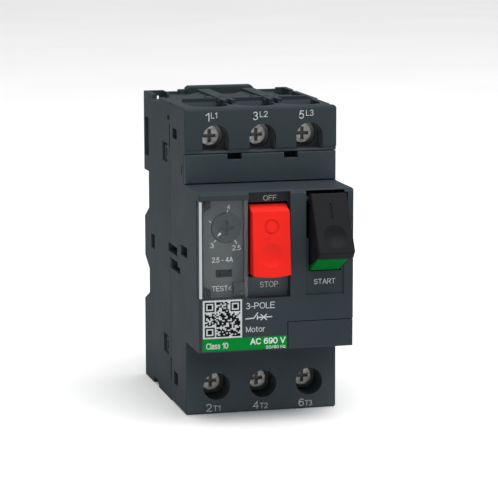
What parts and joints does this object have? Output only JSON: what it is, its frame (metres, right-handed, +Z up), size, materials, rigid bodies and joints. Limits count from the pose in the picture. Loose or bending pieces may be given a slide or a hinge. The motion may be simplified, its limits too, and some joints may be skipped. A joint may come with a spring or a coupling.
{
  "type": "motor protection breaker",
  "caption": "Compact three-pole motor protection breaker for a 35 mm rail, with hinged START and STOP buttons, a current setting dial under a clear cover, and screw terminals.",
  "frame": {"origin": "middle of the rail seat: mid-width, on the plane that lies on the rail, at the rail's centre line", "axes": "+X right seen from the front, +Y back into the rail, +Z up"},
  "size_m": [0.045, 0.0844, 0.0905],
  "materials": {
    "case_plastic": "fine matte thermoplastic, dark grey",
    "clear_plastic": "clear polycarbonate",
    "dial_plastic": "matte mid-grey plastic",
    "red_plastic": "satin red plastic",
    "black_plastic": "satin black plastic",
    "green_plastic": "satin green plastic",
    "screw_steel": "zinc-plated steel, slightly dull",
    "steel": "plain steel",
    "copper": "copper with bright contact tips"
  },
  "bodies": {
    "case": {"front_housing": "case_plastic", "rear_housing": "case_plastic", "label_carrier": "case_plastic", "blanking_cover": "case_plastic", "stop_pin": "steel", "start_pin": "steel", "start_spring": "steel", "heater_windings": "copper", "mechanism_frame": "steel", "mechanism_pins": "steel", "latch_springs": "steel", "coil_yokes": "steel", "bimetal_strips": "steel", "line_contact_1": "copper", "load_contact_1": "copper", "load_bar_1": "copper", "arc_chute_1": "steel", "trip_coil_1": "copper", "line_contact_2": "copper", "load_contact_2": "copper", "load_bar_2": "copper", "arc_chute_2": "steel", "trip_coil_2": "copper", "line_contact_3": "copper", "load_contact_3": "copper", "load_bar_3": "copper", "arc_chute_3": "steel", "trip_coil_3": "copper"},
    "clear_cover": {"setting_cover": "clear_plastic"},
    "dial": {"setting_dial": "dial_plastic"},
    "test_key": {"test_slider": "dial_plastic"},
    "stop": {"stop_button": "red_plastic"},
    "start": {"start_rocker": "black_plastic", "start_flag": "green_plastic"},
    "lever": {"drive_lever": "steel"},
    "hook": {"latch_hook": "steel"},
    "contacts": {"contact_carrier": "black_plastic", "contact_springs": "steel", "moving_contact_1": "copper", "moving_contact_2": "copper", "moving_contact_3": "copper"},
    "trip_bar": {"trip_slider": "black_plastic"},
    "latch": {"rail_latch": "black_plastic"},
    "plunger_1": {"trip_plunger_1": "steel"},
    "plunger_2": {"trip_plunger_2": "steel"},
    "plunger_3": {"trip_plunger_3": "steel"},
    "line_washer_1": {"line_clamp_1": "screw_steel"},
    "line_bolt_1": {"line_screw_1": "screw_steel"},
    "line_washer_2": {"line_clamp_2": "screw_steel"},
    "line_bolt_2": {"line_screw_2": "screw_steel"},
    "line_washer_3": {"line_clamp_3": "screw_steel"},
    "line_bolt_3": {"line_screw_3": "screw_steel"},
    "load_washer_1": {"load_clamp_1": "screw_steel"},
    "load_bolt_1": {"load_screw_1": "screw_steel"},
    "load_washer_2": {"load_clamp_2": "screw_steel"},
    "load_bolt_2": {"load_screw_2": "screw_steel"},
    "load_washer_3": {"load_clamp_3": "screw_steel"},
    "load_bolt_3": {"load_screw_3": "screw_steel"}
  },
  "joints": [
    {"name": "start_press", "type": "hinge", "parent": "case", "child": "start", "pos_m": [0.0148, -0.0657, 0.01843], "axis": [1, 0, 0], "range_deg": [0, 24]},
    {"name": "stop_swing", "type": "hinge", "parent": "case", "child": "stop", "pos_m": [-0.0019, -0.0628, 0.01542], "axis": [-1, 0, 0], "range_deg": [0, 9]},
    {"name": "lever_turn", "type": "hinge", "parent": "case", "child": "lever", "pos_m": [0.004, -0.0335, 0.01883], "axis": [1, 0, 0], "range_deg": [0, 12]},
    {"name": "hook_turn", "type": "hinge", "parent": "case", "child": "hook", "pos_m": [0.004, -0.0395, 0.01142], "axis": [-1, 0, 0], "range_deg": [0, 8]},
    {"name": "contact_travel", "type": "slide", "parent": "case", "child": "contacts", "axis": [0, 1, 0], "range_m": [0, 0.0028]},
    {"name": "cover_swing", "type": "hinge", "parent": "case", "child": "clear_cover", "pos_m": [-0.0218, -0.0663, 0.00498], "axis": [0, 0, -1], "range_deg": [0, 110]},
    {"name": "dial_turn", "type": "hinge", "parent": "case", "child": "dial", "pos_m": [-0.0141, -0.0645, 0.01087], "axis": [0, 1, 0], "range_deg": [-81, 140]},
    {"name": "test_push", "type": "slide", "parent": "case", "child": "test_key", "axis": [-1, 0, 0], "range_m": [0, 0.0011], "stiffness_N_per_m": 300},
    {"name": "trip_travel", "type": "slide", "parent": "case", "child": "trip_bar", "axis": [1, 0, 0], "range_m": [0, 0.0012], "stiffness_N_per_m": 300},
    {"name": "latch_pull", "type": "slide", "parent": "case", "child": "latch", "axis": [0, 0, -1], "range_m": [0, 0.004], "stiffness_N_per_m": 2000, "deforming": ["latch_springs"]},
    {"name": "plunger_1_strike", "type": "slide", "parent": "case", "child": "plunger_1", "axis": [0, -1, 0], "range_m": [0, 0.0024], "stiffness_N_per_m": 300},
    {"name": "plunger_2_strike", "type": "slide", "parent": "case", "child": "plunger_2", "axis": [0, -1, 0], "range_m": [0, 0.0024], "stiffness_N_per_m": 300},
    {"name": "plunger_3_strike", "type": "slide", "parent": "case", "child": "plunger_3", "axis": [0, -1, 0], "range_m": [0, 0.0024], "stiffness_N_per_m": 300},
    {"name": "line_clamp_1_travel", "type": "slide", "parent": "case", "child": "line_washer_1", "axis": [0, 1, 0], "range_m": [0, 0.0035]},
    {"name": "line_screw_1_turn", "type": "hinge", "parent": "line_washer_1", "child": "line_bolt_1", "pos_m": [-0.0134, -0.0385, 0.03422], "axis": [0, 1, 0], "range_deg": [0, 1800]},
    {"name": "line_clamp_2_travel", "type": "slide", "parent": "case", "child": "line_washer_2", "axis": [0, 1, 0], "range_m": [0, 0.0035]},
    {"name": "line_screw_2_turn", "type": "hinge", "parent": "line_washer_2", "child": "line_bolt_2", "pos_m": [0.0005, -0.0385, 0.03422], "axis": [0, 1, 0], "range_deg": [0, 1800]},
    {"name": "line_clamp_3_travel", "type": "slide", "parent": "case", "child": "line_washer_3", "axis": [0, 1, 0], "range_m": [0, 0.0035]},
    {"name": "line_screw_3_turn", "type": "hinge", "parent": "line_washer_3", "child": "line_bolt_3", "pos_m": [0.0144, -0.0385, 0.03422], "axis": [0, 1, 0], "range_deg": [0, 1800]},
    {"name": "load_clamp_1_travel", "type": "slide", "parent": "case", "child": "load_washer_1", "axis": [0, 1, 0], "range_m": [0, 0.0035]},
    {"name": "load_screw_1_turn", "type": "hinge", "parent": "load_washer_1", "child": "load_bolt_1", "pos_m": [-0.0134, -0.0385, -0.03807], "axis": [0, 1, 0], "range_deg": [0, 1800]},
    {"name": "load_clamp_2_travel", "type": "slide", "parent": "case", "child": "load_washer_2", "axis": [0, 1, 0], "range_m": [0, 0.0035]},
    {"name": "load_screw_2_turn", "type": "hinge", "parent": "load_washer_2", "child": "load_bolt_2", "pos_m": [0.0005, -0.0385, -0.03807], "axis": [0, 1, 0], "range_deg": [0, 1800]},
    {"name": "load_clamp_3_travel", "type": "slide", "parent": "case", "child": "load_washer_3", "axis": [0, 1, 0], "range_m": [0, 0.0035]},
    {"name": "load_screw_3_turn", "type": "hinge", "parent": "load_washer_3", "child": "load_bolt_3", "pos_m": [0.0144, -0.0385, -0.03807], "axis": [0, 1, 0], "range_deg": [0, 1800]}
  ],
  "couplings": [
    {"joint": "start_press", "follows": "contact_travel", "rad_per_m": 149.59},
    {"joint": "stop_swing", "follows": "contact_travel", "rad_per_m": 56.09},
    {"joint": "lever_turn", "follows": "contact_travel", "rad_per_m": 74.79},
    {"joint": "hook_turn", "follows": "contact_travel", "rad_per_m": 49.86},
    {"joint": "line_screw_1_turn", "follows": "line_clamp_1_travel", "rad_per_m": 8975},
    {"joint": "line_screw_2_turn", "follows": "line_clamp_2_travel", "rad_per_m": 8975},
    {"joint": "line_screw_3_turn", "follows": "line_clamp_3_travel", "rad_per_m": 8975},
    {"joint": "load_screw_1_turn", "follows": "load_clamp_1_travel", "rad_per_m": 8975},
    {"joint": "load_screw_2_turn", "follows": "load_clamp_2_travel", "rad_per_m": 8975},
    {"joint": "load_screw_3_turn", "follows": "load_clamp_3_travel", "rad_per_m": 8975}
  ]
}
